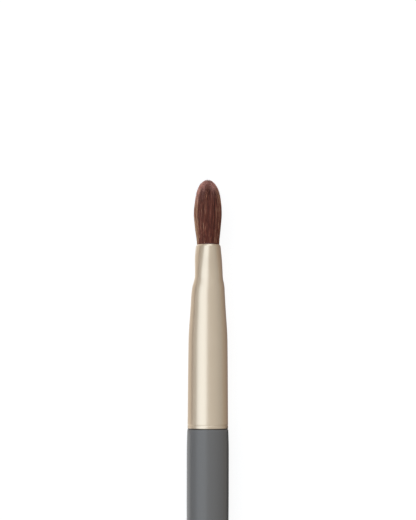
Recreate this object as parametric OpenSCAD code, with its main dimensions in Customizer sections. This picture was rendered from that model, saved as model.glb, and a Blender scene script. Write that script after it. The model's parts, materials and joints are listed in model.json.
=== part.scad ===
// Flat eye brush, lying on its side as it rests on a table, in millimetres.
// A turned wooden handle carries a thin drawn ferrule. The ferrule's mouth is pressed oval,
// and it grips a flat oval head of hair whose roots are locked by a plug of adhesive.
// Widths are measured across the head's narrow side, which faces up, and depths at right
// angles to them, across its wide faces.
// Each piece is drawn about the brush's own axis, which is Y: the ferrule's foot is at y = 0
// and the hair points to +Y. The whole brush is then rolled a little about that axis and laid
// down on the long cone of its handle.

/* [Handle] */
// Diameter of the straight grip behind the ferrule
grip_d = 7.8; // [7.6:0.1:9]
// Length of the straight grip
grip_len = 6.5; // [4:0.5:12]
// Length over which the handle swells from its shoulder to the grip
swell_len = 4.2; // [2:0.2:8]
// Length of the long arc that leads from the grip into the tail
belly_len = 12; // [8:1:30]
// Length of the straight tapered tail
tail_len = 98.6; // [70:0.2:140]
// Diameter at the tail's end
tail_d = 4.6; // [3:0.1:6]
// How far the handle's shoulder stands out past the ferrule's foot, on each side
shoulder_proud = 0.03; // [0:0.01:0.05]
// Rounding of the shoulder's outer edge
shoulder_round = 0.2; // [0.1:0.05:0.3]
// Length of the tenon that goes up inside the ferrule
tenon_len = 17; // [10:0.5:20]
// Chamfer at the tenon's end
tenon_chamfer = 0.6; // [0.2:0.1:1]

/* [Ferrule] */
// Thickness of the drawn metal
wall = 0.2; // [0.15:0.01:0.3]
// Width across the mouth
mouth_w = 4.54; // [4.2:0.02:4.9]
// Length from the mouth to its throat
mouth_len = 2.8; // [2:0.1:4]
// Width at the throat
throat_w = 5.04; // [4.9:0.02:5.15]
// Length of the nearly straight neck below the throat
neck_len = 3.2; // [2:0.1:5]
// Width at the neck's root
neck_w = 5.22; // [5.16:0.02:5.6]
// Length of the shoulder, where the neck flares out
flare_len = 2.2; // [1.8:0.1:4]
// Width at the foot of the flare
flare_w = 6.06; // [5.8:0.02:6.3]
// Length of the cone below the flare
cone_len = 3.8; // [2:0.1:8]
// Width at the foot of the cone
cone_w = 6.56; // [6.4:0.02:6.9]
// Length of the curved nose between the cone and the barrel
nose_len = 6; // [4:0.1:10]
// Width where the nose runs out into the barrel
nose_w = 7.26; // [7:0.02:7.4]
// Length of the barrel down to the foot
barrel_len = 16.3; // [13:0.1:24]
// Width across the foot
foot_w = 7.54; // [7.42:0.02:7.58]
// Depth of the pressed mouth as a share of its width
mouth_press = 1.52; // [1:0.02:1.7]
// How far the rounded lip turns in at the mouth
lip_in = 0.15; // [0.05:0.01:0.15]
// How far the rounded lip reaches down from the mouth
lip_len = 0.4; // [0.2:0.05:0.8]
// Rounding of the foot's outer edge
foot_round = 0.12; // [0.05:0.01:0.15]
// Height of the band between the foot and the fine groove round it
foot_band = 0.6; // [0.3:0.05:1.5]
// Width of the fine groove
groove_w = 0.2; // [0.1:0.02:0.4]
// Depth of the fine groove
groove_deep = 0.05; // [0.02:0.01:0.08]
// Sideways push of the small dent at the neck's root
dent_push = 0.13; // [0:0.01:0.2]
// Length over which the dent fades out below the neck
dent_fade = 3.5; // [2:0.1:5]

/* [Hair] */
// Length of hair that shows beyond the mouth
hair_out = 12; // [9:0.2:16]
// Width of the head at its fullest
head_w = 5.14; // [4.6:0.02:6]
// Depth of the head at its fullest
head_deep = 7.4; // [7:0.1:8.5]
// Height above the mouth at which the head is fullest
belly_at = 5.7; // [4:0.1:7]
// Fullness of the head's rounded end, where 2 is half an ellipse
head_fullness = 2.15; // [1.8:0.05:2.6]
// Length of the roots held inside the ferrule
root_len = 9.5; // [9:0.1:11]
// Number of hair locks round the head
lock_count = 40; // [24:1:44]
// Depth of the furrow between two locks
lock_deep = 0.11; // [0.04:0.01:0.15]
// How far the shortest lock stays below the tip
lock_short = 0.45; // [0:0.05:0.8]

/* [Rest] */
// How far the brush is rolled about its own axis as it lies, in degrees
rest_roll = 6; // [0:1:15]

/* [Fits] */
// Clearance between the hair roots and the ferrule's wall
hair_gap = 0.03; // [0.02:0.01:0.08]
// Clearance between the tenon or the adhesive and the ferrule's wall
tenon_gap = 0.03; // [0.02:0.01:0.08]
// Clearance where one piece seats end to end on the next
seat_gap = 0.02; // [0.01:0.01:0.05]

/* [Smoothness] */
// Sides of the pressed ferrule and of the adhesive plug
ring_sides = 56; // [40:4:60]

/* [Hidden] */
$fn = 64;

// Places along the axis, each counted from the mouth towards the foot
throat_at = mouth_len;
neck_at = throat_at + neck_len;
flare_at = neck_at + flare_len;
cone_at = flare_at + cone_len;
nose_at = cone_at + nose_len;
ferrule_len = nose_at + barrel_len;
// Half-widths of the ferrule's skin at those places
SKIN = [
    [0, mouth_w / 2],
    [throat_at, throat_w / 2],
    [neck_at, neck_w / 2],
    [flare_at, flare_w / 2],
    [cone_at, cone_w / 2],
    [nose_at, nose_w / 2],
    [ferrule_len, foot_w / 2],
];
// The pressing of the mouth runs out at the neck's root
press_len = neck_at;

// Places along the handle, each counted back from the ferrule's foot
grip_from = swell_len;
grip_to = grip_from + grip_len;
tail_from = grip_to + belly_len;
tail_to = tail_from + tail_len;
// Half-angle of the tail's cone, and so the tilt at which the brush lies on a table
rest_tilt = 2 * atan((grip_d - tail_d) / 2 / (2 * tail_len + belly_len));
belly_drop = belly_len * tan(rest_tilt / 2);
tail_from_r = grip_d / 2 - belly_drop;
tail_to_r = tail_from_r - tail_len * tan(rest_tilt);
// The round end of the tail is a ball that its cone runs into
ball_r = tail_to_r / cos(rest_tilt);
ball_at = tail_to - ball_r * sin(rest_tilt);
// Where the brush's axis comes to lie, so that the cone's side is on the table at z = 0
// and the brush's ends are at equal distances from the origin
axis_lift = tail_from_r * cos(rest_tilt) + tail_from * sin(rest_tilt);
tip_y = (ferrule_len + hair_out) * cos(rest_tilt);
tail_y = -ball_at * cos(rest_tilt) - ball_r;

function smooth(t) = let (u = min(1, max(0, t))) u * u * (3 - 2 * u);

// A curve through stations [place, value] that never overshoots them
function secant(s, i) = (s[i + 1][1] - s[i][1]) / (s[i + 1][0] - s[i][0]);
function slope(s, i) =
    i == 0 ? secant(s, 0)
    : i == len(s) - 1 ? secant(s, i - 1)
    : let (a = secant(s, i - 1), b = secant(s, i)) a * b <= 0 ? 0 : 2 * a * b / (a + b);
function span_of(s, x, i = 0) = i < len(s) - 2 && x > s[i + 1][0] ? span_of(s, x, i + 1) : i;
function curve_at(s, x) =
    let (
        i = span_of(s, x),
        h = s[i + 1][0] - s[i][0],
        t = (x - s[i][0]) / h
    )
    (1 + 2 * t) * (1 - t) * (1 - t) * s[i][1]
    + t * (1 - t) * (1 - t) * h * slope(s, i)
    + t * t * (3 - 2 * t) * s[i + 1][1]
    - t * t * (1 - t) * h * slope(s, i + 1);

// How strongly the mouth's pressing is felt at a depth d below the mouth
function press(d) = 1 - smooth(d / press_len);
function skin_half_w(d) = curve_at(SKIN, d);
function skin_half_deep(d) = skin_half_w(d) * (1 + (mouth_press - 1) * press(d));
// The dent pushes the section sideways, most of all at the neck's root
function dent(d) =
    dent_push * smooth((d - throat_at / 2) / (neck_at - throat_at / 2)) * (1 - smooth((d - neck_at) / dent_fade));

// A point of the section at depth d, taken in from the ferrule's skin by inset
function section_point(d, inset, turn) = [
    dent(d) + (skin_half_w(d) - inset) * cos(turn),
    ferrule_len - d,
    (skin_half_deep(d) - inset) * sin(turn)
];
function section(d, inset) =
    [for (k = [0:ring_sides - 1]) section_point(d, inset, 360 * k / ring_sides)];

// Depths from one place to another in equal steps, with the first left out
function steps(from, to, count) = [for (k = [1:count]) from + (to - from) * k / count];

// Faces between rings of equal size, each ring taken against the next one
function side_faces(sides, rings, wrap) = [
    for (r = [0:rings - (wrap ? 1 : 2)], k = [0:sides - 1])
        let (
            low = r * sides,
            high = ((r + 1) % rings) * sides,
            next = (k + 1) % sides
        )
        for (half = [[low + k, low + next, high + next], [low + k, high + next, high + k]]) half
];

// A closed body through rings that run towards +Y, with a flat end at the first ring
// and, beyond the last, a point
module loft_to_point(rings, tip) {
    sides = len(rings[0]);
    last = (len(rings) - 1) * sides;
    polyhedron(
        points = concat([for (ring = rings) each ring], [tip]),
        faces = concat(
            [[for (k = [sides - 1:-1:0]) k]],
            side_faces(sides, len(rings), false),
            [for (k = [0:sides - 1]) [last + k, last + (k + 1) % sides, last + sides]]
        )
    );
}

// A closed body through rings that run towards +Y, with flat ends
module loft(rings) {
    sides = len(rings[0]);
    last = (len(rings) - 1) * sides;
    polyhedron(
        points = [for (ring = rings) each ring],
        faces = concat(
            [[for (k = [sides - 1:-1:0]) k]],
            side_faces(sides, len(rings), false),
            [[for (k = [0:sides - 1]) last + k]]
        )
    );
}

// A closed shell through rings that run up the outside and back down the inside
module loft_shell(rings) {
    polyhedron(
        points = [for (ring = rings) each ring],
        faces = side_faces(len(rings[0]), len(rings), true)
    );
}

// Rolls the brush, lays it on its tail's cone and centres it over the origin
module lying() {
    translate([0, -(tip_y + tail_y) / 2, axis_lift])
        rotate([rest_tilt, 0, 0])
        rotate([0, rest_roll, 0])
        children();
}

// Turned wood: the tenon, a rounded shoulder, the swell, the grip, the belly, the tapered
// tail and its ball end
module handle() {
    shoulder_r = foot_w / 2 + shoulder_proud;
    tenon_top_r = skin_half_w(ferrule_len - tenon_len) - wall - tenon_gap;
    belly_r = belly_len / sin(rest_tilt);
    outline = concat(
        [[0, -ball_at - ball_r]],
        [for (a = steps(90, rest_tilt, 10)) [ball_r * cos(a), -ball_at - ball_r * sin(a)]],
        [for (a = steps(rest_tilt, 0, 8)) [grip_d / 2 - belly_r * (1 - cos(a)), -grip_to - belly_r * sin(a)]],
        [[grip_d / 2, -grip_from]],
        [
            for (t = steps(1, shoulder_round / swell_len, 9))
                [shoulder_r + (grip_d / 2 - shoulder_r) * sin(90 * t), -grip_from * t - seat_gap]
        ],
        [
            for (a = steps(0, 90, 4))
                [shoulder_r - shoulder_round * (1 - cos(a)), -shoulder_round * (1 - sin(a)) - seat_gap]
        ],
        [
            for (y = concat([-seat_gap], steps(0, tenon_len - tenon_chamfer, 7)))
                [skin_half_w(ferrule_len - max(0, y)) - wall - tenon_gap, y]
        ],
        [[tenon_top_r - tenon_chamfer, tenon_len], [0, tenon_len]]
    );
    color("#67686a") rotate([-90, 0, 0]) rotate_extrude() polygon(outline);
}

// Drawn metal tube: round at the foot, pressed oval at the mouth, with a turned-in lip,
// a fine groove above the foot and a small dent on one side
module ferrule() {
    groove_low = ferrule_len - foot_band;
    groove_high = groove_low - groove_w;
    outside = concat(
        [for (a = steps(-22.5, 90, 5)) [ferrule_len - foot_round * (1 - cos(a)), foot_round * (1 - sin(a))]],
        [
            [groove_low, 0],
            [groove_low - groove_w / 4, groove_deep],
            [groove_high + groove_w / 4, groove_deep],
            [groove_high, 0],
        ],
        [for (d = steps(groove_high, nose_at, 3)) [d, 0]],
        [for (d = steps(nose_at, cone_at, 5)) [d, 0]],
        [for (d = steps(cone_at, flare_at, 4)) [d, 0]],
        [for (d = steps(flare_at, neck_at, 6)) [d, 0]],
        [for (d = steps(neck_at, throat_at, 4)) [d, 0]],
        [for (d = steps(throat_at, lip_len, 3)) [d, 0]],
        [for (a = steps(0, 90, 4)) [lip_len * (1 - sin(a)), lip_in * (1 - cos(a))]]
    );
    inside = [
        for (
            d = concat(
                [0],
                steps(0, throat_at, 3),
                steps(throat_at, neck_at, 3),
                steps(neck_at, flare_at, 4),
                steps(flare_at, nose_at, 6),
                steps(nose_at, ferrule_len, 3)
            )
        )
            [d, wall]
    ];
    color("#c6b499") loft_shell([for (at = concat(outside, inside)) section(at[0], at[1])]);
}

// Adhesive cast inside the ferrule, between the roots of the hair and the tenon
module glue_plug() {
    from = ferrule_len - tenon_len - seat_gap;
    to = root_len + seat_gap;
    depths = concat([from], steps(from, to, 7));
    color("#d9b36a") loft([for (d = depths) section(d, wall + tenon_gap)]);
}

// One furrowed bundle of hair: inside the ferrule it fills the bore, above the mouth it
// swells to its belly, and from there it closes to a rounded tip
module bristle_head() {
    inset = wall + hair_gap;
    columns = 2 * lock_count;
    root_furrow = 0.02;
    unevenness = rands(0, 1, lock_count, 11);
    shortness = rands(0, 1, lock_count, 5);
    belly_half = [head_w / 2, head_deep / 2];
    closing = hair_out - belly_at;

    // Half-width and half-depth of the bundle at a depth d inside the ferrule, at a height h
    // below its belly, and at a share t of the way from the belly to the tip
    function root_half(d) = [skin_half_w(d) - inset, skin_half_deep(d) - inset];
    function low_half(h) = root_half(0) + (belly_half - root_half(0)) * pow(sin(90 * h / belly_at), 1.6);
    function high_half(t) = belly_half * pow(1 - pow(t, head_fullness), 1 / head_fullness);
    // One ring of the bundle: every second column lies in a furrow between two locks
    function locks(x, h, half, furrow) = [
        for (k = [0:columns - 1])
            let (
                lock = floor(k / 2),
                turn = 360 * (k + 0.5 * unevenness[lock]) / columns,
                cut = (k % 2) * furrow * (0.5 + unevenness[lock]),
                below = h <= 0 ? 0 : lock_short * shortness[lock] * pow(h / hair_out, 8)
            )
            [x + (half[0] - cut) * cos(turn), ferrule_len + h - below, (half[1] - cut) * sin(turn)]
    ];

    roots = [
        for (d = concat([root_len], steps(root_len, 0, 14)))
            locks(dent(d), -d, root_half(d), root_furrow)
    ];
    low = [
        for (h = steps(0, belly_at, 9))
            locks(0, h, low_half(h), lock_deep * smooth(h / belly_at + 0.25))
    ];
    high = [
        for (a = steps(0, 85, 19))
            let (t = pow(sin(a), 2 / head_fullness), half = high_half(t))
            locks(0, belly_at + closing * t, half, lock_deep * 2 * half[0] / head_w)
    ];
    color("#57332b") loft_to_point(concat(roots, low, high), [0, ferrule_len + hair_out, 0]);
}

lying() handle();
lying() ferrule();
lying() glue_plug();
lying() bristle_head();
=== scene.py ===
# %% [markdown]
# # A flat eye brush
# A small make-up brush lies on a white table. It has a turned wooden handle with a grey
# lacquer, a thin champagne-coloured metal ferrule that is round at its foot and pressed oval
# at its mouth, and a flat rounded head of brown hair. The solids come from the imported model,
# so every piece here is modelled to the same sizes and laid in the same place.

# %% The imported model
import json
import math
import random

import bmesh
import bpy
from mathutils import Matrix, Vector


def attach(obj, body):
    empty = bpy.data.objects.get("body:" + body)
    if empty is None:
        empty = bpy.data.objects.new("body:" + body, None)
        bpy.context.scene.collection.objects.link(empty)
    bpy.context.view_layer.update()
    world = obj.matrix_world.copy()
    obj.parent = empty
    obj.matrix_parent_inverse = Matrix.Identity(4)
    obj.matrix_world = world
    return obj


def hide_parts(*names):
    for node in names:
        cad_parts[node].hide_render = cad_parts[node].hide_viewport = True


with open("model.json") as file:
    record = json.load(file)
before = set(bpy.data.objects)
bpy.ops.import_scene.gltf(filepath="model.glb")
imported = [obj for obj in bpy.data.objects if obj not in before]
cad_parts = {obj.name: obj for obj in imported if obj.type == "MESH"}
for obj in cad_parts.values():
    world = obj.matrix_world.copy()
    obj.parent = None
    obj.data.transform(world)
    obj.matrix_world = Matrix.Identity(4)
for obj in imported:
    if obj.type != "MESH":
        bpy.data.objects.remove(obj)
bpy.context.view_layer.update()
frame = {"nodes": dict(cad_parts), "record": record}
MM = 0.001
print("nodes:", sorted(frame["nodes"]))

# %% [markdown]
# ## The brush's own axis
# A turned thing is easiest to model about its own axis. The brush doesn't lie level, because
# its long handle is a cone, so the axis is a little steeper than the table. It could be worked
# out from the cone, but the model already states it: the grip is a mount with a place and a
# direction. Every piece is made about Y with the ferrule's foot at zero, then laid on this axis.
# A round handle rolls, so the brush lies rolled a few degrees off, which the oval mouth shows.

# %% Lay a piece on the axis
SWELL_LEN = 4.2 * MM
GRIP_LEN = 6.5 * MM
REST_ROLL = math.radians(6)
grip = next(m for m in frame["record"]["mounts"] if m["name"] == "grip")
towards_tip = -Vector(grip["axis"])
foot = Vector(grip["pos_m"]) + towards_tip * (SWELL_LEN + GRIP_LEN / 2)
rest_tilt = math.atan2(towards_tip.z, towards_tip.y)
along_axis = Matrix.Translation(foot) @ Matrix.Rotation(rest_tilt, 4, "X")
lying = along_axis @ Matrix.Rotation(REST_ROLL, 4, "Y")
print(f"the axis rises {math.degrees(rest_tilt):.2f} degrees towards the tip")


# %% [markdown]
# ## Curves that more than one piece needs
# The ferrule's outline and the hair's outline are smooth runs between a few measured widths.
# A spline could overshoot and make bumps that a drawn tube doesn't have, so this one takes its
# slope at each station from the stretches on both sides and never passes beyond them.


# %% Smooth steps and curves through stations
def smooth(t):
    """A soft step from 0 to 1."""
    t = min(1.0, max(0.0, t))
    return t * t * (3 - 2 * t)


def curve_at(stations, x):
    """The value at x of a curve through stations (place, value) that never overshoots them."""
    rises = [(b[1] - a[1]) / (b[0] - a[0]) for a, b in zip(stations, stations[1:])]
    slopes = [2 * a * b / (a + b) if a * b > 0 else 0.0 for a, b in zip(rises, rises[1:])]
    slopes = [rises[0], *slopes, rises[-1]]
    i = 0
    while i < len(rises) - 1 and x > stations[i + 1][0]:
        i += 1
    (x0, y0), (x1, y1) = stations[i], stations[i + 1]
    h = x1 - x0
    t = (x - x0) / h
    value = (1 + 2 * t) * (1 - t) ** 2 * y0 + t * (1 - t) ** 2 * h * slopes[i]
    return value + t * t * (3 - 2 * t) * y1 - t * t * (1 - t) * h * slopes[i + 1]


# %% [markdown]
# ## The ferrule's section
# The ferrule's widths are read where the tube changes: mouth, throat, neck, flare, cone, nose
# and foot. The mouth is pressed to an oval, and the pressing runs out at the neck's root. The
# reflections say which way the oval lies: towards the mouth they move closer together, as on a
# surface that bends more sharply, so the camera looks at the narrow side and the oval is
# deeper than it is wide. One side of the neck has a small dent.

# %% Widths of the ferrule and the shape of its section
FERRULE_LEN = 34.3 * MM
NECK_AT = 6.0 * MM
THROAT_AT = 2.8 * MM
FLARE_LEN = 2.2 * MM
SKIN = [
    (0, 2.27 * MM),
    (THROAT_AT, 2.52 * MM),
    (NECK_AT, 2.61 * MM),
    (NECK_AT + FLARE_LEN, 3.03 * MM),
    (12.0 * MM, 3.28 * MM),
    (18.0 * MM, 3.63 * MM),
    (FERRULE_LEN, 3.77 * MM),
]
MOUTH_PRESS = 1.52
DENT_PUSH = 0.13 * MM
DENT_FADE = 3.5 * MM
WALL = 0.2 * MM


def skin(depth):
    """Half the ferrule's width at a depth below its mouth."""
    return curve_at(SKIN, depth)


def skin_deep(depth):
    """Half the ferrule's depth: pressed outwards at the mouth, round from the neck's root on."""
    return skin(depth) * (1 + (MOUTH_PRESS - 1) * (1 - smooth(depth / NECK_AT)))


def dent(depth):
    """How far the dent pushes the section sideways."""
    rise = smooth((depth - THROAT_AT / 2) / (NECK_AT - THROAT_AT / 2))
    return DENT_PUSH * rise * (1 - smooth((depth - NECK_AT) / DENT_FADE))


print(f"foot {2 * skin(FERRULE_LEN) / MM:.2f} mm, mouth {2 * skin(0) / MM:.2f} mm wide")

# %% [markdown]
# ## The camera
# The picture looks straight down on the brush, with the tip up and the handle running out of
# the frame. The ferrule's rims curve away from a point about 70 pixels above its foot, which
# says that the camera stood right above that point, and how far away. A lens shift could place
# the frame, but turning the camera a few degrees towards the middle of the frame needs none.

# %% Place the camera from the scale of the picture
PICTURE_W, PICTURE_H = 416, 520
PX = 7.8 / 41.93 * MM
FOOT_ROW = 428.5
OVER_ROW = 359
CAMERA_RISE = 1970 * PX
FOOT_COLUMN = 207.8
ROLL = math.radians(0.12)
SENSOR = 36.0

camera = bpy.data.objects.new("camera", bpy.data.cameras.new("camera"))
bpy.context.collection.objects.link(camera)
bpy.context.scene.camera = camera
camera.data.sensor_fit = "HORIZONTAL"
camera.data.sensor_width = SENSOR
camera.data.lens = SENSOR * CAMERA_RISE / (PICTURE_W * PX)
camera.data.clip_start = 0.01
pitch = math.atan((OVER_ROW - PICTURE_H / 2) * PX / CAMERA_RISE)
# The roll turns the picture about its own middle, so the foot's column fixes the sideways place
aside = (PICTURE_W / 2 - FOOT_COLUMN) * PX - math.sin(ROLL) * (FOOT_ROW - PICTURE_H / 2) * PX
stand = Matrix.Translation((aside, (FOOT_ROW - OVER_ROW) * PX, CAMERA_RISE))
aim = along_axis @ stand @ Matrix.Rotation(pitch, 4, "X")
camera.matrix_world = aim @ Matrix.Rotation(ROLL, 4, "Z")
print(f"camera {CAMERA_RISE / MM:.0f} mm above the brush, lens {camera.data.lens:.0f} mm")

# %% [markdown]
# ## The table and the light
# A product shot like this has one broad soft box high on the left, a pale room all round and a
# white ground, and here a strip lamp beyond the tip that brightens the ends of the hair. The
# ground is white because its own colour glows a little for the eye and for reflections, so the
# lamps can stay at a plain level and the brush still throws a faint shadow.
# The room is brighter overhead than at its sides, but plain white to the camera.
#
# Metal only looks like metal when it has something dark to mirror. So plain cards lie on both
# sides of the brush, as a photographer would set them, and only reflections can see them. The
# pale one softens the ferrule's left edge, and the darker ones lay the bands of shade beside it
# and along the right side.


# %% Small helpers for materials
def new_material(name):
    """A node material with nothing in it but its output."""
    material = bpy.data.materials.new(name)
    material.use_nodes = True
    material.node_tree.nodes.clear()
    return material, material.node_tree.nodes.new("ShaderNodeOutputMaterial")


def add_node(tree, kind, **settings):
    """Adds a node, and sets its properties and its sockets by name."""
    node = tree.nodes.new("ShaderNode" + kind)
    for name, value in settings.items():
        if hasattr(node, name):
            setattr(node, name, value)
        else:
            node.inputs[name.replace("_", " ")].default_value = value
    return node


# %% A white finish that keeps the shadow
GLOW = 0.88
TABLE_GREY = 0.20


def table_material():
    """White to the eye, to mirrors and to glass, and plain pale grey to the lamps."""
    material, out = new_material("table_white")
    tree = material.node_tree
    path = add_node(tree, "LightPath")
    seen = add_node(tree, "Math", operation="MAXIMUM")
    seen_clear = add_node(tree, "Math", operation="MAXIMUM")
    strength = add_node(tree, "Math", operation="MULTIPLY")
    strength.inputs[1].default_value = GLOW
    paint = add_node(tree, "BsdfDiffuse", Color=(TABLE_GREY, TABLE_GREY, TABLE_GREY, 1))
    glow = add_node(tree, "Emission")
    both = add_node(tree, "AddShader")
    tree.links.new(path.outputs["Is Camera Ray"], seen.inputs[0])
    tree.links.new(path.outputs["Is Glossy Ray"], seen.inputs[1])
    tree.links.new(seen.outputs[0], seen_clear.inputs[0])
    tree.links.new(path.outputs["Is Transmission Ray"], seen_clear.inputs[1])
    tree.links.new(seen_clear.outputs[0], strength.inputs[0])
    tree.links.new(strength.outputs[0], glow.inputs["Strength"])
    tree.links.new(paint.outputs[0], both.inputs[0])
    tree.links.new(glow.outputs[0], both.inputs[1])
    tree.links.new(both.outputs[0], out.inputs["Surface"])
    return material


# %% Lay level sheets, the table first
TABLE_SIZE = 3.0


def flat_sheet(name, size_x, size_y, centre, material):
    """A level sheet that is part of the studio, not of the brush."""
    mesh = bpy.data.meshes.new(name)
    bm = bmesh.new()
    bmesh.ops.create_grid(bm, x_segments=1, y_segments=1, size=0.5)
    bmesh.ops.scale(bm, vec=(size_x, size_y, 1), verts=bm.verts)
    bmesh.ops.translate(bm, vec=centre, verts=bm.verts)
    bm.to_mesh(mesh)
    bm.free()
    mesh.materials.append(material)
    sheet = bpy.data.objects.new(name, mesh)
    bpy.context.collection.objects.link(sheet)
    return sheet


# Plain colours, so that white stays white
bpy.context.scene.view_settings.view_transform = "Standard"
flat_sheet("table", TABLE_SIZE, TABLE_SIZE, (0, 0, 0), table_material())

# %% Cards that only reflections see
CARD_RISE = 0.05 * MM
FOOT_Y = foot.y
FAR = 300 * MM
# Each card has its left and right edge, its near and far edge, and its colour
CARDS = {
    "pale_card": ((-20 * MM, -6 * MM), (FOOT_Y - 0.6 * MM, FAR), (0.70, 0.655, 0.615)),
    "left_card": ((-90 * MM, -20 * MM), (-FAR, FAR), (0.30, 0.272, 0.267)),
    "near_card": ((3 * MM, 12 * MM), (FOOT_Y, FAR), (0.30, 0.25, 0.225)),
    "handle_card": ((3 * MM, 12 * MM), (-FAR, FOOT_Y), (0.05, 0.05, 0.045)),
    "right_card": ((12 * MM, 220 * MM), (-FAR, FAR), (0.40, 0.355, 0.315)),
}


def card_material(name, colour):
    """A matt card of one colour, whatever light falls on it."""
    material, out = new_material(name)
    glow = add_node(material.node_tree, "Emission", Color=(*colour, 1))
    material.node_tree.links.new(glow.outputs[0], out.inputs["Surface"])
    return material


for name, ((left, right), (near, far), colour) in CARDS.items():
    centre = ((left + right) / 2, (near + far) / 2, CARD_RISE)
    card = flat_sheet(name, right - left, far - near, centre, card_material(name, colour))
    card.visible_camera = False
    card.visible_diffuse = False
    card.visible_shadow = False
    card.visible_transmission = False
    print(f"{name}: {(right - left) / MM:.0f} x {(far - near) / MM:.0f} mm")

# %% The room and its level
ROOM_TOP = 0.664
ROOM_SIDE = 0.376
ROOM_CURVE = 0.6

world = bpy.data.worlds.new("room")
bpy.context.scene.world = world
world.use_nodes = True
room = world.node_tree
room.nodes.clear()
way = add_node(room, "TexCoord")
split = add_node(room, "SeparateXYZ")
height = add_node(room, "Clamp")
rise = add_node(room, "Math", operation="POWER")
rise.inputs[1].default_value = ROOM_CURVE
level = add_node(room, "MapRange", To_Min=ROOM_SIDE, To_Max=ROOM_TOP)
eye = add_node(room, "LightPath")
seen_level = add_node(room, "MapRange", To_Max=1.0)
light = add_node(room, "Background", Color=(1, 1, 1, 1))
world_out = add_node(room, "OutputWorld")
room.links.new(way.outputs["Generated"], split.inputs[0])
room.links.new(split.outputs["Z"], height.inputs["Value"])
room.links.new(height.outputs[0], rise.inputs[0])
room.links.new(rise.outputs[0], level.inputs["Value"])
room.links.new(eye.outputs["Is Camera Ray"], seen_level.inputs["Value"])
room.links.new(level.outputs[0], seen_level.inputs["To Min"])
room.links.new(seen_level.outputs[0], light.inputs["Strength"])
room.links.new(light.outputs[0], world_out.inputs["Surface"])
print(f"room: {ROOM_SIDE} at its sides, {ROOM_TOP} overhead")

# %% The soft box and the strip beyond the tip
BOX_LEVEL = 0.66
BOX_COLOUR = (0.81, 0.99, 1.22)
BOX_TURN = math.radians(35.2)
BOX_W, BOX_LEN = 0.56, 1.0
LAMPS_AWAY = 0.5
STRIP_LEVEL = 1.2
STRIP_COLOUR = (0.88, 0.96, 1.12)
STRIP_TURN = math.radians(62)
STRIP_W, STRIP_LEN = 0.18, 0.5


def add_lamp(name, size_x, size_y, level, colour, turn):
    """A flat lamp that faces the brush, whose face is as bright as level says."""
    lamp = bpy.data.lights.new(name, "AREA")
    lamp.shape = "RECTANGLE"
    lamp.size, lamp.size_y = size_x, size_y
    lamp.color = colour
    lamp.energy = level * math.pi * size_x * size_y
    holder = bpy.data.objects.new(name, lamp)
    bpy.context.collection.objects.link(holder)
    holder.matrix_world = turn @ Matrix.Translation((0, 0, LAMPS_AWAY))
    print(f"{name}: {lamp.energy:.2f} W")


over_left = Matrix.Rotation(-BOX_TURN, 4, "Y")
beyond_tip = Matrix.Rotation(-STRIP_TURN, 4, "X")
add_lamp("soft_box", BOX_W, BOX_LEN, BOX_LEVEL, BOX_COLOUR, over_left)
add_lamp("tip_strip", STRIP_LEN, STRIP_W, STRIP_LEVEL, STRIP_COLOUR, beyond_tip)

# %% [markdown]
# ## Turning and finishing a piece
# Both the handle and the ferrule start on a lathe, real or spun in Blender: half an outline is
# swept once round the axis. The finishing helper lays the mesh on the axis, shades it smooth
# but keeps its crisp edges, makes it ride with the brush, and hides the imported solid it
# replaces.


# %% Turn an outline
MERGE = 0.0005 * MM


def turned(outline, sides, closed=False):
    """A bmesh swept round Y from (radius, place) points, closed on itself or at its poles."""
    bm = bmesh.new()
    points = [bm.verts.new((r, y, 0)) for r, y in outline]
    ends = list(zip(points, points[1:])) + ([(points[-1], points[0])] if closed else [])
    lines = [bm.edges.new(pair) for pair in ends]
    bmesh.ops.spin(
        bm,
        geom=points + lines,
        axis=(0, 1, 0),
        cent=(0, 0, 0),
        angle=2 * math.pi,
        steps=sides,
        use_merge=True,
    )
    bmesh.ops.remove_doubles(bm, verts=bm.verts, dist=MERGE)
    bmesh.ops.recalc_face_normals(bm, faces=bm.faces)
    return bm


# %% Finish a piece
SHARP = math.radians(32)


def finish_piece(name, bm, material, node=None):
    """Lays a bmesh on the brush's axis as a named piece that rides with the brush."""
    bm.transform(lying)
    mesh = bpy.data.meshes.new(name)
    bm.to_mesh(mesh)
    bm.free()
    mesh.shade_smooth()
    mesh.set_sharp_from_angle(angle=SHARP)
    add_piece(name, mesh, material, node)


def add_piece(name, mesh, material, node=None):
    """Puts a finished mesh into the scene, makes it ride with the brush and hides the solid it
    replaces.
    """
    mesh.materials.clear()
    mesh.materials.append(material)
    piece = bpy.data.objects.new(name, mesh)
    bpy.context.collection.objects.link(piece)
    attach(piece, "root")
    if node:
        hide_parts(node)
    print(f"{name}: {len(mesh.polygons)} faces")


# %% [markdown]
# ## The handle
# The handle is one turned piece of wood: a tenon that goes up inside the ferrule, a rounded
# shoulder, a slight swell to the straight grip, a gentle belly, a tapered tail and a ball end.
# A loft or a bevelled cylinder could make it, but it came off a lathe, so it is spun here too.

# %% Sizes of the handle
GRIP_R = 3.9 * MM
BELLY_LEN = 12.0 * MM
TAIL_LEN = 98.6 * MM
SHOULDER_R = SKIN[-1][1] + 0.03 * MM
SHOULDER_ROUND = 0.2 * MM
TENON_LEN = 17.0 * MM
TENON_CHAMFER = 0.6 * MM
GAP = 0.03 * MM
SEAT = 0.02 * MM

grip_end = -(SWELL_LEN + GRIP_LEN)
tail_start = grip_end - BELLY_LEN
tail_end = tail_start - TAIL_LEN
belly_drop = BELLY_LEN * math.tan(rest_tilt / 2)
belly_r = BELLY_LEN / math.sin(rest_tilt)
tail_end_r = GRIP_R - belly_drop - TAIL_LEN * math.tan(rest_tilt)
ball_r = tail_end_r / math.cos(rest_tilt)
ball_centre = (0, tail_end + ball_r * math.sin(rest_tilt))
tilt_deg = math.degrees(rest_tilt)
print(f"tail {2 * tail_end_r / MM:.1f} mm thick at its end")

# %% Outline of the handle
BALL_STEPS = 20
BELLY_STEPS = 12
SWELL_STEPS = 12
SHAFT_STEPS = 6


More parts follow.
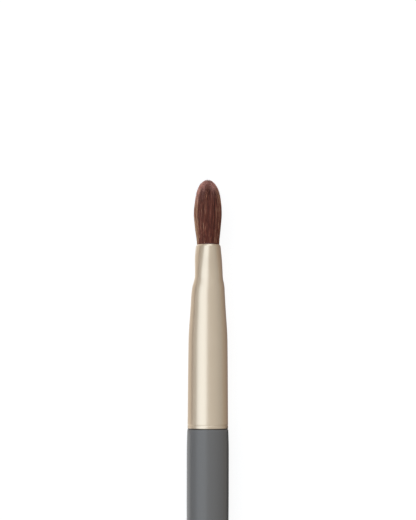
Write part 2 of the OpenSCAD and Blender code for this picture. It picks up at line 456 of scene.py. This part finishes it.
def arc(centre, radius, start, end, count):
    """Points (radius, place) on an arc between two angles, in degrees from outwards."""
    angles = [math.radians(start + (end - start) * k / count) for k in range(count + 1)]
    return [(centre[0] + radius * math.cos(a), centre[1] + radius * math.sin(a)) for a in angles]


def handle_outline():
    """The handle's half outline, from the tail's pole to the tenon's end."""
    ball = arc(ball_centre, ball_r, -90, -tilt_deg, BALL_STEPS)
    ball[0] = (0, ball[0][1])
    along = [t * TAIL_LEN for t in (0.25, 0.5, 0.75)]
    tail = [(ball[-1][0] + y * math.tan(rest_tilt), tail_end + y) for y in along]
    belly = arc((GRIP_R - belly_r, grip_end), belly_r, -tilt_deg, 0, BELLY_STEPS)
    steps = [1 - k / SWELL_STEPS for k in range(SWELL_STEPS + 1)]
    swell = [
        (SHOULDER_R + (GRIP_R - SHOULDER_R) * math.sin(math.pi / 2 * t), -SWELL_LEN * t - SEAT)
        for t in steps
        if SWELL_LEN * t > SHOULDER_ROUND
    ]
    edge = (SHOULDER_R - SHOULDER_ROUND, -SHOULDER_ROUND - SEAT)
    shoulder = arc(edge, SHOULDER_ROUND, 0, 90, 6)
    shaft = [k / SHAFT_STEPS * (TENON_LEN - TENON_CHAMFER) for k in range(SHAFT_STEPS + 1)]
    tenon = [(skin(FERRULE_LEN - y) - WALL - GAP, y) for y in shaft]
    tenon[0] = (tenon[0][0], -SEAT)
    end_r = skin(FERRULE_LEN - TENON_LEN) - WALL - GAP - TENON_CHAMFER
    return ball + tail + belly + swell + shoulder + tenon + [(end_r, TENON_LEN), (0, TENON_LEN)]


# %% [markdown]
# ## Grey lacquer
# The wood is hidden under a sprayed grey lacquer with a soft satin sheen. One even sheen would
# look like plastic, so a slow noise lets it wander a little, and a faint bump stands for the
# slightly uneven skin that sprayed lacquer dries to. Right at the joint with the ferrule the
# colour is scaled down: that is painted shade, for the shadow in the notch between the parts.
# The same helper paints highlights: it lifts the colour on the rounded shoulder, and on the
# ferrule's lip.


# %% Painted shade or highlight near a ring of the brush
# Painted shade at the joint and painted highlights; each has a point of the axis, a factor and a
# reach
SEAM_PAINTED_SHADE = (foot, 0.12, 0.22 * MM)
SHOULDER_PAINTED_SHADE = (foot, 0.15, 0.15 * MM)
SHOULDER_PAINTED_HIGHLIGHT = (foot, 1.12, 0.7 * MM)
LIP_PAINTED_HIGHLIGHT = (lying @ Vector((0, FERRULE_LEN, 0)), 1.16, 0.45 * MM)


def paint_near_ring(tree, colour, ring):
    """Paints shade or a highlight: scales a colour by a factor that fades out within a reach of
    one point of the axis.
    """
    point, factor, reach = ring
    place = add_node(tree, "TexCoord")
    along = add_node(tree, "VectorMath", operation="DOT_PRODUCT")
    along.inputs[1].default_value = towards_tip
    offset = add_node(tree, "Math", operation="SUBTRACT")
    offset.inputs[1].default_value = point.dot(towards_tip)
    distance = add_node(tree, "Math", operation="ABSOLUTE")
    shade = add_node(tree, "MapRange", From_Max=reach, To_Min=factor, To_Max=1.0)
    scaled = add_node(tree, "VectorMath", operation="SCALE")
    tree.links.new(place.outputs["Object"], along.inputs[0])
    tree.links.new(along.outputs["Value"], offset.inputs[0])
    tree.links.new(offset.outputs[0], distance.inputs[0])
    tree.links.new(distance.outputs[0], shade.inputs["Value"])
    tree.links.new(colour, scaled.inputs[0])
    tree.links.new(shade.outputs[0], scaled.inputs["Scale"])
    return scaled.outputs["Vector"]


# %% Lacquer material
LACQUER = (0.131, 0.131, 0.130, 1)
LACQUER_TINT = (1.0, 0.92, 0.82, 1)


def lacquer_material():
    """Satin grey lacquer on turned wood."""
    material, out = new_material("grey_lacquer")
    tree = material.node_tree
    place = add_node(tree, "TexCoord")
    mottle = add_node(tree, "TexNoise", Scale=120.0, Detail=1.0)
    sheen = add_node(tree, "MapRange", From_Min=0.3, From_Max=0.7, To_Min=0.29, To_Max=0.32)
    orange_peel = add_node(tree, "TexNoise", Scale=550.0, Detail=0.0)
    bump = add_node(tree, "Bump", Strength=0.02, Distance=0.00002)
    shader = add_node(tree, "BsdfPrincipled", IOR=1.68, Specular_Tint=LACQUER_TINT)
    base = add_node(tree, "RGB")
    base.outputs[0].default_value = LACQUER
    tree.links.new(place.outputs["Object"], mottle.inputs["Vector"])
    tree.links.new(place.outputs["Object"], orange_peel.inputs["Vector"])
    # Painted shade at the joint, then a painted highlight on the rounded shoulder
    shaded = paint_near_ring(tree, base.outputs[0], SHOULDER_PAINTED_SHADE)
    tree.links.new(paint_near_ring(tree, shaded, SHOULDER_PAINTED_HIGHLIGHT), shader.inputs["Base Color"])
    tree.links.new(mottle.outputs["Fac"], sheen.inputs["Value"])
    tree.links.new(sheen.outputs[0], shader.inputs["Roughness"])
    tree.links.new(orange_peel.outputs["Fac"], bump.inputs["Height"])
    tree.links.new(bump.outputs[0], shader.inputs["Normal"])
    tree.links.new(shader.outputs[0], out.inputs["Surface"])
    return material


# %% Turn the handle
HANDLE_SIDES = 128
blank = turned(handle_outline(), HANDLE_SIDES)
finish_piece("handle_turned", blank, lacquer_material(), node="handle")

# %% [markdown]
# ## The ferrule
# A ferrule is drawn from thin sheet, so it is a shell of one thickness with a lip turned in at
# its mouth, a fine groove above its foot and a rounded foot. It is spun round like the handle,
# as a closed outline that runs up the outside and back down the inside. Then it is pressed, as
# in the workshop: each point moves onto the oval section at its place along the tube. The
# pressing also draws the lip down by a hair's breadth, to where the picture shows it.

# %% Outline of the ferrule's wall
LIP_IN = 0.15 * MM
LIP_LEN = 0.32 * MM
FOOT_ROUND = 0.12 * MM
FOOT_BAND = 0.6 * MM
GROOVE_W = 0.2 * MM
GROOVE_DEEP = 0.05 * MM
EDGE = 0.02 * MM
FINE_FROM = 12 * MM
ARC_STEPS = 8
LIP_CURVE = 1.4


def evenly(start, end, step):
    """Depths from start to end in equal steps no longer than step, without the first."""
    count = max(1, math.ceil(abs(end - start) / step))
    return [start + (end - start) * k / count for k in range(1, count + 1)]


def ferrule_outline():
    """Closed half outline of the wall: up the outside, over the lip, down the inside."""
    outside = []
    for k in range(7):
        a = math.radians(15 * k)
        depth = FERRULE_LEN - FOOT_ROUND * (1 - math.cos(a))
        outside.append((depth, FOOT_ROUND * (1 - math.sin(a))))
    groove_low = FERRULE_LEN - FOOT_BAND
    outside.append((groove_low, 0))
    shares = [k / ARC_STEPS for k in range(1, ARC_STEPS + 1)]
    for t in shares[:-1]:
        outside.append((groove_low - GROOVE_W * t, GROOVE_DEEP * math.sin(math.pi * t)))
    groove_high = groove_low - GROOVE_W
    up = evenly(groove_high, FINE_FROM, 0.7 * MM) + evenly(FINE_FROM, LIP_LEN, 0.22 * MM)
    outside += [(groove_high, 0)] + [(d, 0) for d in up]
    outside += [(LIP_LEN * (1 - t), LIP_IN * t**LIP_CURVE) for t in shares]
    down = evenly(EDGE, FINE_FROM, 0.5 * MM) + evenly(FINE_FROM, FERRULE_LEN, 2 * MM)
    inside = [(0, WALL - EDGE), (EDGE, WALL)] + [(d, WALL) for d in down]
    return [(skin(d) - inset, FERRULE_LEN - d) for d, inset in outside + inside]


# %% Press the mouth
LIP_DROP = 0.14 * MM
DROP_REACH = 4 * MM


def press_mouth(bm):
    """Moves each point of the round tube onto the pressed section, and the lip down a little."""
    for v in bm.verts:
        depth = FERRULE_LEN - v.co.y
        radius = math.hypot(v.co.x, v.co.z)
        inset = skin(depth) - radius
        v.co.z *= (skin_deep(depth) - inset) / radius
        v.co.x += dent(depth)
        v.co.y -= LIP_DROP * smooth(1 - depth / DROP_REACH)


# %% [markdown]
# ## Satin champagne metal
# The metal is anodised to a pale warm colour and polished to a satin. Its drawing marks run
# along the tube, too fine to see one by one, and they smear reflections round it. So a noise
# that is stretched along Y gives a faint bump, and the polish varies slowly over the surface.


# %% Ferrule material
METAL_DEEP = (0.800, 0.672, 0.510, 1)
METAL_PALE = (0.825, 0.697, 0.538, 1)


def ferrule_material():
    """Satin anodised metal with fine drawing marks along the tube."""
    material, out = new_material("champagne_metal")
    tree = material.node_tree
    place = add_node(tree, "TexCoord")
    along = add_node(tree, "Mapping", Scale=(9000, 220, 9000))
    marks = add_node(tree, "TexNoise", Scale=1.0, Detail=2.0)
    bump = add_node(tree, "Bump", Strength=0.10, Distance=0.000004)
    cloud = add_node(tree, "TexNoise", Scale=420.0, Detail=2.0)
    colour = add_node(tree, "Mix", data_type="RGBA")
    colour.inputs["A"].default_value = METAL_DEEP
    colour.inputs["B"].default_value = METAL_PALE
    polish = add_node(tree, "MapRange", From_Min=0.3, From_Max=0.7, To_Min=0.31, To_Max=0.34)
    shader = add_node(tree, "BsdfPrincipled", Metallic=1.0)
    tree.links.new(place.outputs["Object"], along.inputs["Vector"])
    tree.links.new(along.outputs[0], marks.inputs["Vector"])
    tree.links.new(marks.outputs["Fac"], bump.inputs["Height"])
    tree.links.new(bump.outputs[0], shader.inputs["Normal"])
    tree.links.new(place.outputs["Object"], cloud.inputs["Vector"])
    tree.links.new(cloud.outputs["Fac"], colour.inputs["Factor"])
    # Painted shade at the foot, then a painted highlight on the lip
    shaded = paint_near_ring(tree, colour.outputs["Result"], SEAM_PAINTED_SHADE)
    tree.links.new(paint_near_ring(tree, shaded, LIP_PAINTED_HIGHLIGHT), shader.inputs["Base Color"])
    tree.links.new(cloud.outputs["Fac"], polish.inputs["Value"])
    tree.links.new(polish.outputs[0], shader.inputs["Roughness"])
    tree.links.new(shader.outputs[0], out.inputs["Surface"])
    return material


# %% Spin and press the ferrule
FERRULE_SIDES = 160
tube = turned(ferrule_outline(), FERRULE_SIDES, closed=True)
press_mouth(tube)
finish_piece("ferrule_drawn", tube, ferrule_material(), node="ferrule")

# %% [markdown]
# ## The adhesive plug
# Inside the ferrule, amber resin locks the roots of the hair. Nothing of it shows, so the solid
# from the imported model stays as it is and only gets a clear-looking resin finish.


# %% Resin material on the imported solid
RESIN_DEEP = (0.56, 0.36, 0.13, 1)
RESIN_PALE = (0.66, 0.45, 0.19, 1)


def resin_material():
    """Set amber resin with a few faint clouds in it."""
    material, out = new_material("amber_resin")
    tree = material.node_tree
    place = add_node(tree, "TexCoord")
    cloud = add_node(tree, "TexNoise", Scale=600.0, Detail=3.0)
    colour = add_node(tree, "Mix", data_type="RGBA")
    colour.inputs["A"].default_value = RESIN_DEEP
    colour.inputs["B"].default_value = RESIN_PALE
    shader = add_node(tree, "BsdfPrincipled", Roughness=0.18)
    tree.links.new(place.outputs["Object"], cloud.inputs["Vector"])
    tree.links.new(cloud.outputs["Fac"], colour.inputs["Factor"])
    tree.links.new(colour.outputs["Result"], shader.inputs["Base Color"])
    tree.links.new(shader.outputs[0], out.inputs["Surface"])
    return material


resin = resin_material()
for slot in frame["nodes"]["glue_plug"].material_slots:
    slot.material = resin
print("glue_plug: the packed solid, with a resin finish")

# %% [markdown]
# ## How the hair lies
# The hairs leave the mouth nearly parallel, spread to the belly of the head, and lean in again
# towards the tip. They keep their natural ends, so the rounded end of the head is made of hairs
# that end at different heights. A hair keeps its direction in the section and its share of the
# section's size, but it leans in a little less than the outline does. So the outer hairs end
# low on the rounded end, and those in the middle reach the tip. Use has combed this head a
# little to the left and slimmed its upper half, so two small curves bend and narrow the way.

# %% Size of the head
HAIR_OUT = 12.0 * MM
HEAD_HALF = (2.57 * MM, 3.7 * MM)
BELLY_AT = 5.7 * MM
HEAD_FULLNESS = 2.15
SPREADING = 1.6
BORE_HALF = (skin(0) - WALL - GAP, skin_deep(0) - WALL - GAP)
CLOSING = HAIR_OUT - BELLY_AT


def head_half(h, lean=1.0):
    """Half the head's width and depth at height h; a lean below 1 gives a hair's way instead."""
    if h <= BELLY_AT:
        rise = math.sin(math.pi / 2 * max(0.0, h / BELLY_AT)) ** SPREADING
        return [low + (high - low) * rise for low, high in zip(BORE_HALF, HEAD_HALF)]
    t = min(1.0, lean * (h - BELLY_AT) / CLOSING)
    return [half * (1 - t**HEAD_FULLNESS) ** (1 / HEAD_FULLNESS) for half in HEAD_HALF]


def end_height(share, lean):
    """Height at which a hair at this share of the section meets the head's surface."""
    low, high = BELLY_AT, HAIR_OUT
    for _ in range(20):
        middle = (low + high) / 2
        if share * head_half(middle, lean)[0] < head_half(middle)[0]:
            low = middle
        else:
            high = middle
    return low


for share in (0.3, 0.7, 0.95):
    print(f"a hair at {share} of the section ends {end_height(share, 0.93) / MM:.1f} mm up")

# %% The way of a hair
# At heights in millimetres above the mouth: millimetres to the side, and share of the width
COMBED = [(0.0, 0.0), (2.5, -0.06), (5.4, -0.08), (8.4, -0.055), (12.0, -0.13)]
SLIMMED = [
    (0.0, 1.0),
    (1.2, 1.02),
    (2.4, 1.018),
    (3.9, 0.985),
    (5.4, 0.987),
    (7.0, 0.967),
    (8.4, 0.957),
    (9.9, 1.0),
    (12.0, 1.0),
]


def hair_point(turn, share, h, lean):
    """Where a hair with this direction and share of the section is at height h."""
    wide, deep = head_half(h, lean)
    aside = curve_at(COMBED, h / MM) * MM
    wide *= curve_at(SLIMMED, h / MM)
    across = aside + share * wide * math.cos(turn)
    return Vector((across, FERRULE_LEN + h, share * deep * math.sin(turn)))


# %% [markdown]
# ## The heart of the bundle
# Thousands of hairs stand behind those that show. Modelling them all would be waste, because
# nobody can see between them. A dark inner body of the same form, a little smaller, closes the
# bundle and carries the roots down inside the ferrule. It is spun, then given the head's oval.
# The finish of the hair comes first, because heart and strands share its colours: a dark, a
# middle and a light brown, and a golden brown for the painted light at the head's edges, on
# one ramp, and a pale rosy tone for worn tips and for the painted light on the head's rim.

# %% Hair colours and material
HAIR_DARK = (0.052, 0.0076, 0.0032, 1)
HAIR_MID = (0.121, 0.0242, 0.0108, 1)
HAIR_LIGHT = (0.225, 0.062, 0.036, 1)
HAIR_GOLD_PAINTED_LIGHT = (0.560, 0.320, 0.185, 1)
HAIR_TIP = (1.0, 0.51, 0.42, 1)


def hair_material():
    """Brown hair: a tone for each strand plus painted light and shade by place, streaks along it,
    and a paler tip, with a painted paler rim.
    """
    material, out = new_material("brown_hair")
    tree = material.node_tree
    strand = add_node(tree, "Attribute", attribute_name="tone")
    pale = add_node(tree, "Attribute", attribute_name="pale")
    place = add_node(tree, "TexCoord")
    along = add_node(tree, "Mapping", Scale=(6000, 360, 6000))
    streaks = add_node(tree, "TexNoise", Scale=1.0, Detail=3.0)
    swing = add_node(tree, "MapRange", From_Min=0.3, From_Max=0.7, To_Min=-0.38, To_Max=0.38)
    both = add_node(tree, "Math", operation="ADD")
    tones = add_node(tree, "ValToRGB")
    tones.color_ramp.elements[0].color = HAIR_DARK
    tones.color_ramp.elements[1].color = HAIR_GOLD_PAINTED_LIGHT
    tones.color_ramp.elements.new(0.35).color = HAIR_MID
    tones.color_ramp.elements.new(0.76).color = HAIR_LIGHT
    grain = add_node(tree, "Math", operation="MULTIPLY_ADD")
    paler = add_node(tree, "MapRange", To_Min=0.0, To_Max=0.90)
    tip = add_node(tree, "Mix", data_type="RGBA")
    tip.inputs["B"].default_value = HAIR_TIP
    shader = add_node(tree, "BsdfPrincipled", Roughness=0.45, IOR=1.33)
    tree.links.new(place.outputs["Object"], along.inputs["Vector"])
    tree.links.new(along.outputs[0], streaks.inputs["Vector"])
    tree.links.new(streaks.outputs["Fac"], swing.inputs["Value"])
    tree.links.new(strand.outputs["Fac"], both.inputs[0])
    tree.links.new(swing.outputs[0], both.inputs[1])
    tree.links.new(both.outputs[0], tones.inputs["Fac"])
    tree.links.new(swing.outputs[0], grain.inputs[0])
    tree.links.new(pale.outputs["Fac"], grain.inputs[1])
    tree.links.new(pale.outputs["Fac"], grain.inputs[2])
    tree.links.new(grain.outputs[0], paler.inputs["Value"])
    tree.links.new(paler.outputs[0], tip.inputs["Factor"])
    tree.links.new(tones.outputs["Color"], tip.inputs["A"])
    tree.links.new(tip.outputs["Result"], shader.inputs["Base Color"])
    tree.links.new(shader.outputs[0], out.inputs["Surface"])
    return material


hair = hair_material()


# %% Heart material
def heart_material():
    """The shade between hairs, with fine furrows along the bundle."""
    material, out = new_material("hair_heart")
    tree = material.node_tree
    place = add_node(tree, "TexCoord")
    along = add_node(tree, "Mapping", Scale=(6500, 260, 6500))
    streaks = add_node(tree, "TexNoise", Scale=1.0, Detail=2.0)
    colour = add_node(tree, "Mix", data_type="RGBA")
    colour.inputs["A"].default_value = HAIR_DARK
    colour.inputs["B"].default_value = HAIR_MID
    bump = add_node(tree, "Bump", Strength=0.5, Distance=0.00004)
    shader = add_node(tree, "BsdfPrincipled", Roughness=0.55)
    tree.links.new(place.outputs["Object"], along.inputs["Vector"])
    tree.links.new(along.outputs[0], streaks.inputs["Vector"])
    tree.links.new(streaks.outputs["Fac"], colour.inputs["Factor"])
    tree.links.new(colour.outputs["Result"], shader.inputs["Base Color"])
    tree.links.new(streaks.outputs["Fac"], bump.inputs["Height"])
    tree.links.new(bump.outputs[0], shader.inputs["Normal"])
    tree.links.new(shader.outputs[0], out.inputs["Surface"])
    return material


# %% Spin the heart and give it the head's oval
HEART_SHARE = 0.80
HEART_EASE = 2 * MM
HEART_LOWER = 0.9 * MM
HEART_STEPS = 30
HEART_SIDES = 96
ROOT_LEN = 9.5 * MM


def heart_share(h):
    """The heart's share of the head's section: full in the mouth, smaller above it."""
    return 1 - (1 - HEART_SHARE) * smooth(h / HEART_EASE)


def heart_outline():
    """Half outline of the heart, from the roots' flat end to a round tip."""
    depths = [ROOT_LEN] + evenly(ROOT_LEN, 0, 0.5 * MM)
    roots = [(skin(d) - WALL - GAP, FERRULE_LEN - d) for d in depths]
    body = []
    for k in range(1, HEART_STEPS + 1):
        h = math.sin(math.pi / 2 * k / HEART_STEPS) * (HAIR_OUT - HEART_LOWER)
        same = BELLY_AT + (h - BELLY_AT) * CLOSING / (CLOSING - HEART_LOWER) if h > BELLY_AT else h
        body.append((head_half(same)[0] * heart_share(h), FERRULE_LEN + h))
    body[-1] = (0, body[-1][1])
    return [(0, FERRULE_LEN - ROOT_LEN)] + roots + body


def give_head_oval(bm):
    """Draws each ring of the heart out to the depth of the bore or of the head there."""
    for v in bm.verts:
        h = v.co.y - FERRULE_LEN
        if h <= 0:
            v.co.z *= (skin_deep(-h) - WALL - GAP) / (skin(-h) - WALL - GAP)
            v.co.x += dent(-h)
        else:
            wide, deep = head_half(min(h, BELLY_AT))
            v.co.z *= deep / wide


heart = turned(heart_outline(), HEART_SIDES)
give_head_oval(heart)
finish_piece("hair_heart", heart, heart_material(), node="bristle_head")

# %% [markdown]
# ## The strands
# Hair reads as hair because single strands catch the light and lie together in locks, with
# darker lines where two locks part. Particle hair would not survive an export, so each strand
# is a thin tapered tube. Curves with a round bevel make such tubes, and turning a curve with
# thousands of splines into one mesh is quick. A lock is a place that its strands lean towards
# as they rise, and it lends them its tone. Each strand also slants and waves a little by
# itself, so that some cross, as combed hair does.

# %% Locks around the bundle
LOCKS = 120
draw = random.Random(11)


def make_locks(layer):
    """Locks side by side round the bundle, each with its tone and its pull."""
    count = LOCKS - 10 * layer
    locks = []
    for k in range(count):
        locks.append(
            {
                "turn": 2 * math.pi * (k + draw.uniform(-0.4, 0.4)) / count,
                "share": 0.955 - 0.11 * layer,
                "tone": draw.gauss(0.25, 0.14) - 0.05 * layer,
                "pull": draw.uniform(0.2, 0.8),
                "slant": draw.gauss(0, 0.02),
                "lean": draw.gauss(0.955, 0.02),
                "short": draw.expovariate(1 / 0.15) * MM,
                "bleach": 3.6 * draw.random() ** 3,
            }
        )
    return locks


# %% [markdown]
# The hairs at the two edges are painted paler and more golden, standing in for the light that
# passes through them there, more on the left, which faces the soft box. Every hair is paler
# near the tip. Two curves of painted light and shade say how much more golden, or darker, a
# hair is from the left edge of the head, at -1, to the right edge, at 1: one low on the head and
# one high on it.

# %% Painted light and shade by place
LOW_PAINTED_LIGHT = [
    (-1.0, 1.00),
    (-0.9, 0.58),
    (-0.8, 0.22),
    (-0.7, 0.05),
    (-0.6, 0.14),
    (-0.45, 0.12),
    (-0.25, -0.07),
    (0.0, -0.04),
    (0.2, -0.08),
    (0.4, 0.16),
    (0.6, 0.20),
    (0.8, 0.14),
    (1.0, 0.30),
]
HIGH_PAINTED_LIGHT = [
    (-1.0, 1.00),
    (-0.9, 0.70),
    (-0.75, -0.16),
    (-0.6, -0.12),
    (-0.4, 0.06),
    (0.0, -0.02),
    (0.2, -0.10),
    (0.4, -0.06),
    (0.6, 0.30),
    (0.7, 0.46),
    (0.85, 0.46),
    (1.0, 0.75),
]


def seen_at(place):
    """A place's height above the mouth, and how far out to the left or right of the head it is."""
    h = max(0.0, place.y - FERRULE_LEN)
    side = place.x / head_half(min(h, 0.97 * HAIR_OUT))[0]
    return h, max(-1.0, min(1.0, side))


def painted_light_tone(place):
    """Painted light and shade: how much more golden, or darker, a hair is for the side of the head
    that it has reached.
    """
    h, side = seen_at(place)
    low = curve_at(LOW_PAINTED_LIGHT, side)
    high = curve_at(HIGH_PAINTED_LIGHT, side)
    return low + (high - low) * smooth((h - 4 * MM) / (6 * MM))


# %% Paleness along a hair
PALE_FROM = 9.7 * MM


def paleness(place, bleach, end):
    """How pale a hair is here: hardly in the belly, more at the tip and its own end, and at the
    rim as painted light.
    """
    h, side = seen_at(place)
    tip = bleach * max(0.0, (h - PALE_FROM) / (HAIR_OUT - PALE_FROM))
    # Painted light: the rim of the upper head is paler, as where light passes through the outer
    # hairs
    rim_from = 0.8 - 0.4 * smooth((h - 10 * MM) / (1.5 * MM))
    rim = 2.2 * bleach * smooth((abs(side) - rim_from) / (1 - rim_from))
    rim *= smooth((h - 6.5 * MM) / (3.5 * MM))
    own = 0.2 * bleach * smooth(1 - (end - h) / (1.5 * MM)) * smooth((h - 6 * MM) / (4 * MM))
    return min(1.0, 1.1 * tip + rim + own + 0.04 * smooth(h / (8 * MM)))


# %% [markdown]
# A strand starts at its own place beside its lock's place and ends where it meets the head's
# surface, give or take. It sinks a little into the mouth, drifts towards its lock as it comes
# free, waves, and thins out over its last third.

# %% One strand
RINGS = 10
SUNK = 0.8 * MM
THIN_FROM = 0.62


def strand(lock, spread, loose, length=1.0):
    """Points, radii, tones and paleness of a strand; a short length leaves its lower part out."""
    turn = lock["turn"] + draw.gauss(0, spread)
    share = min(0.98, abs(lock["share"] + draw.gauss(0, 0.035)))
    lean = min(0.99, lock["lean"] + draw.gauss(0, 0.012))
    short = lock["short"] * draw.uniform(0.4, 1.2) + draw.expovariate(1 / 0.2) * MM - 0.1 * MM
    end = max(4.0 * MM, end_height(share, lean) - short)
    start = end * (1 - length) if length < 1 else -draw.uniform(0.3, 1.0) * SUNK
    slant = lock["slant"] + draw.gauss(0, 0.035 * loose)
    wave = draw.gauss(0, 0.010 * loose)
    phase = draw.uniform(0, 2 * math.pi)
    lift = draw.gauss(0, 0.012 * loose)
    bleach = lock["bleach"] * draw.uniform(0.5, 1.5)
    tone = min(0.64, max(0.0, lock["tone"] + draw.gauss(0, 0.32)))
    points, radii, tones, pale = [], [], [], []
    for k in range(RINGS):
        t = k / (RINGS - 1)
        h = start + (end - start) * (1 - (1 - t) ** 1.3)
        rise = max(0.0, h) / HAIR_OUT
        free = smooth(rise * 1.6)
        way = turn + (lock["turn"] - turn) * lock["pull"] * free
        way += slant * rise + wave * free * math.sin(phase + 9 * rise)
        out = share * (1 + lift * free)
        place = hair_point(way, out, max(0.0, h), lean) + Vector((0, min(0.0, h), 0))
        points.append(place)
        radii.append(1 - 0.93 * smooth((t - THIN_FROM) / (1 - THIN_FROM)))
        # The strand's own tone plus the painted light and shade of its place
        tones.append(min(1.0, max(0.0, tone + painted_light_tone(place))))
        pale.append(paleness(place, bleach, end))
    return points, radii, tones, pale


# %% [markdown]
# Two numbers are kept on every point for the finish: the strand's tone with the painted light
# and shade of its place, and how pale the strand is at that point, painted rim light included.
# They ride along as mesh attributes, so the colour stays with the hair.


# %% Turn a set of strands into one mesh
STRAND_R = 0.033 * MM


def strands_piece(name, strands):
    """One mesh from many strands, with the tone and paleness of each kept on its points."""
    curve = bpy.data.curves.new(name, "CURVE")
    curve.dimensions = "3D"
    curve.bevel_depth = STRAND_R
    curve.bevel_resolution = 0
    for points, radii, _, _ in strands:
        spline = curve.splines.new("POLY")
        spline.points.add(len(points) - 1)
        placed = [lying @ p for p in points]
        spline.points.foreach_set("co", [c for p in placed for c in (*p, 1.0)])
        spline.points.foreach_set("radius", radii)
    holder = bpy.data.objects.new(name + "_curve", curve)
    bpy.context.collection.objects.link(holder)
    depsgraph = bpy.context.evaluated_depsgraph_get()
    mesh = bpy.data.meshes.new_from_object(holder.evaluated_get(depsgraph))
    bpy.data.objects.remove(holder)
    mesh.name = name
    sides = len(mesh.vertices) // (RINGS * len(strands))
    tones = [value for _, _, tone, _ in strands for value in tone for _ in range(sides)]
    pales = [value for _, _, _, pale in strands for value in pale for _ in range(sides)]
    mesh.attributes.new("tone", "FLOAT", "POINT").data.foreach_set("value", tones)
    mesh.attributes.new("pale", "FLOAT", "POINT").data.foreach_set("value", pales)
    mesh.shade_smooth()
    add_piece(name, mesh, hair)


# %% Grow the bundle, layer by layer
PER_LOCK = (21, 16, 9)
SPREAD = 0.026
for layer, per_lock in enumerate(PER_LOCK):
    locks = [lock for lock in make_locks(layer) for _ in range(per_lock)]
    grown = [strand(lock, SPREAD, 1 + 0.5 * layer) for lock in locks]
    strands_piece(f"hair_{layer}", grown)

# %% [markdown]
# Behind the outer layers stand the hairs that make the crown of the tip. Only their upper part
# can be seen, so only that part is made. A few hundred wisps join them: loose, paler hairs over
# the outer layer, some of which end a little beyond the rest.

# %% Grow the crown
CROWN = 1400
WISPS = 480
crown = []
for lock in (draw.choice(make_locks(0)) for _ in range(CROWN)):
    around = draw.uniform(0, 2 * math.pi)
    inner = {**lock, "turn": around, "share": 0.85 * math.sqrt(draw.random()), "pull": 0}
    crown.append(strand(inner, 0, 1, length=0.35))
for lock in (draw.choice(make_locks(0)) for _ in range(WISPS)):
    wisp = {**lock, "lean": draw.gauss(0.93, 0.025), "tone": draw.gauss(0.45, 0.15)}
    wisp.update(share=0.93, short=-0.55 * MM)
    crown.append(strand(wisp, 0.05, 2, length=0.75))
strands_piece("hair_crown", crown)
